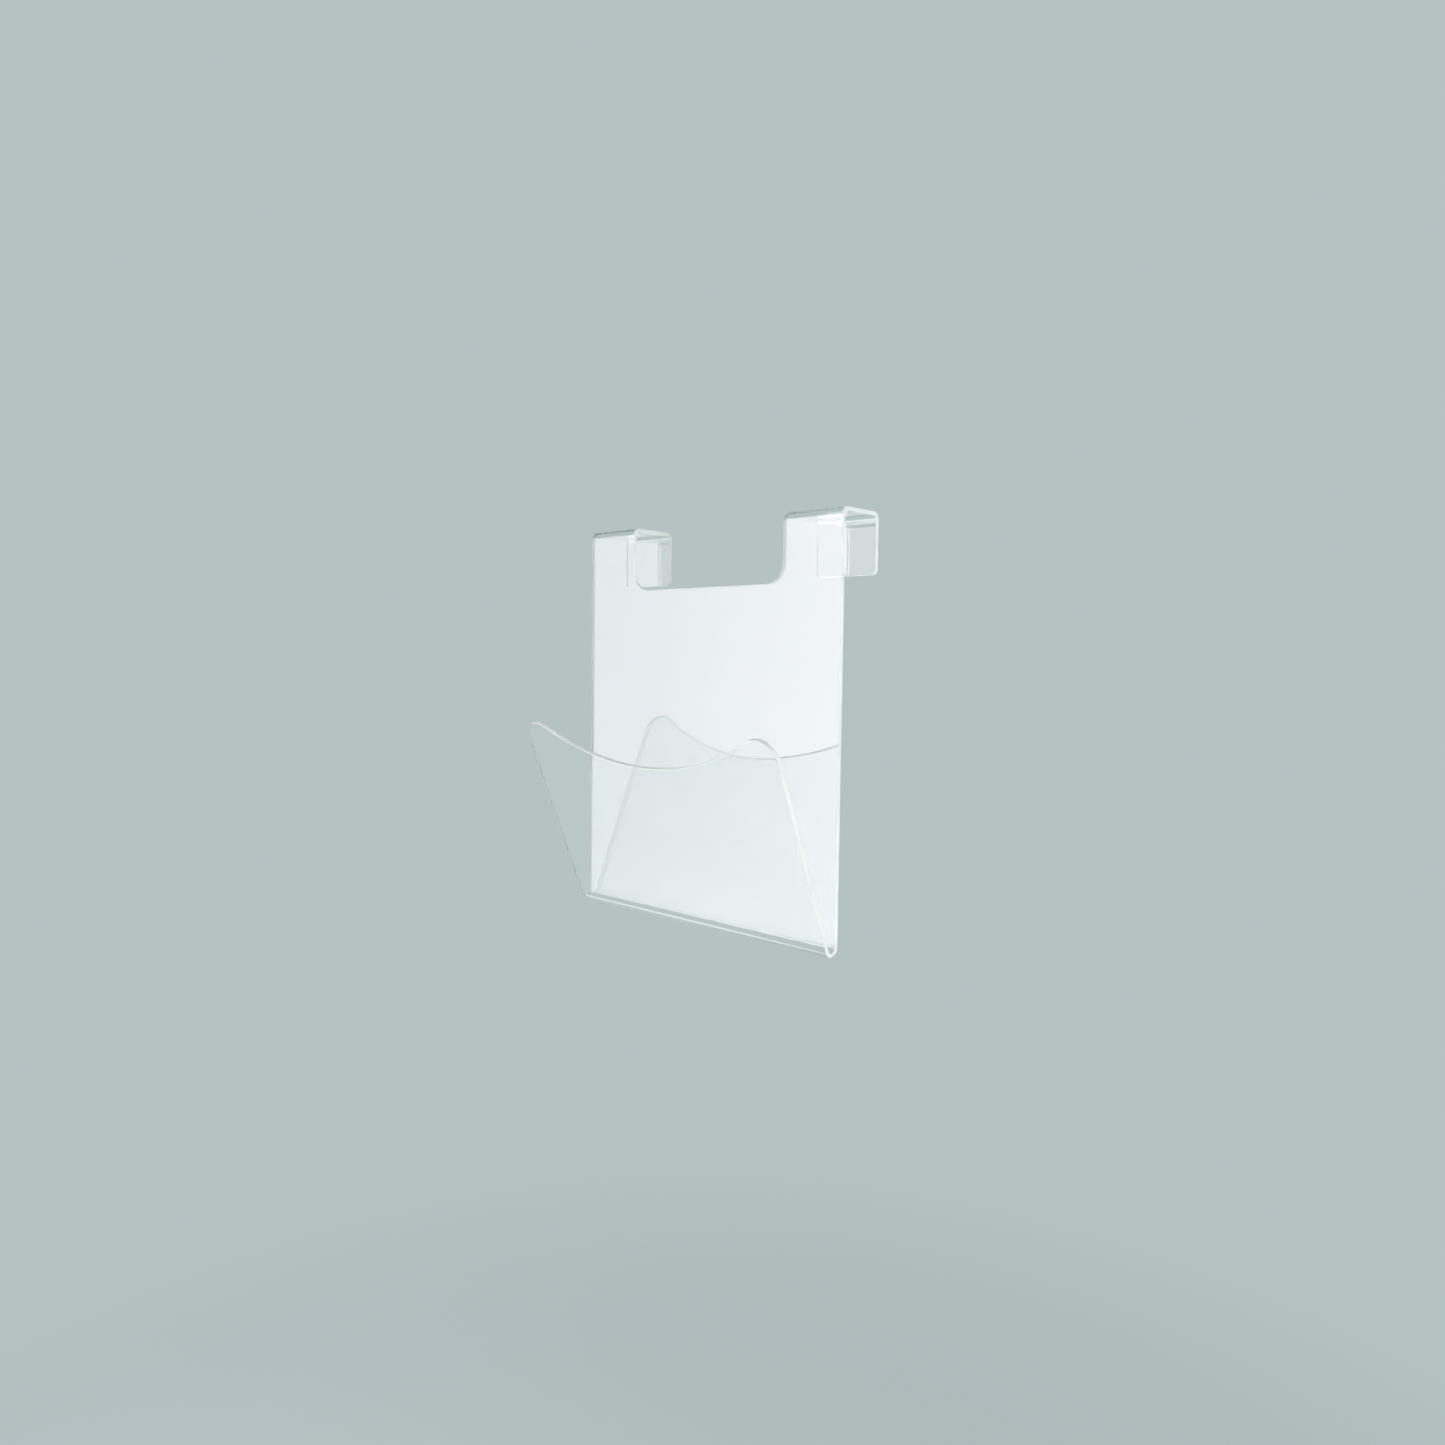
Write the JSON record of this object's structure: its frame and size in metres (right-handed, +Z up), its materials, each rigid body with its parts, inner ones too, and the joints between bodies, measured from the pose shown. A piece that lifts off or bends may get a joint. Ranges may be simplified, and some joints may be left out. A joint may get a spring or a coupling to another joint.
{
  "type": "hanging document pocket",
  "caption": "Clear acrylic sheet folded into an open-sided document pocket with a scooped leaning front, a tall back panel with a finger cut-out, and hooks that sit over a partition's top edge.",
  "frame": {"origin": "where the top edge of the partition meets the back panel's rear face, midway between the hooks, at the height of the hooks' undersides", "axes": "+X across the panel to the viewer's right, +Y from the pocket into the partition, +Z up"},
  "size_m": [0.25, 0.1114, 0.301],
  "materials": {
    "clear_acrylic": "clear, polished faces and edges"
  },
  "bodies": {
    "root": {"front_panel": "clear_acrylic", "bottom_fold": "clear_acrylic", "back_panel": "clear_acrylic", "left_hook_front_bend": "clear_acrylic", "left_hook_top": "clear_acrylic", "left_hook_rear_bend": "clear_acrylic", "left_hook_rear_leg": "clear_acrylic", "right_hook_front_bend": "clear_acrylic", "right_hook_top": "clear_acrylic", "right_hook_rear_bend": "clear_acrylic", "right_hook_rear_leg": "clear_acrylic"}
  },
  "joints": []
}
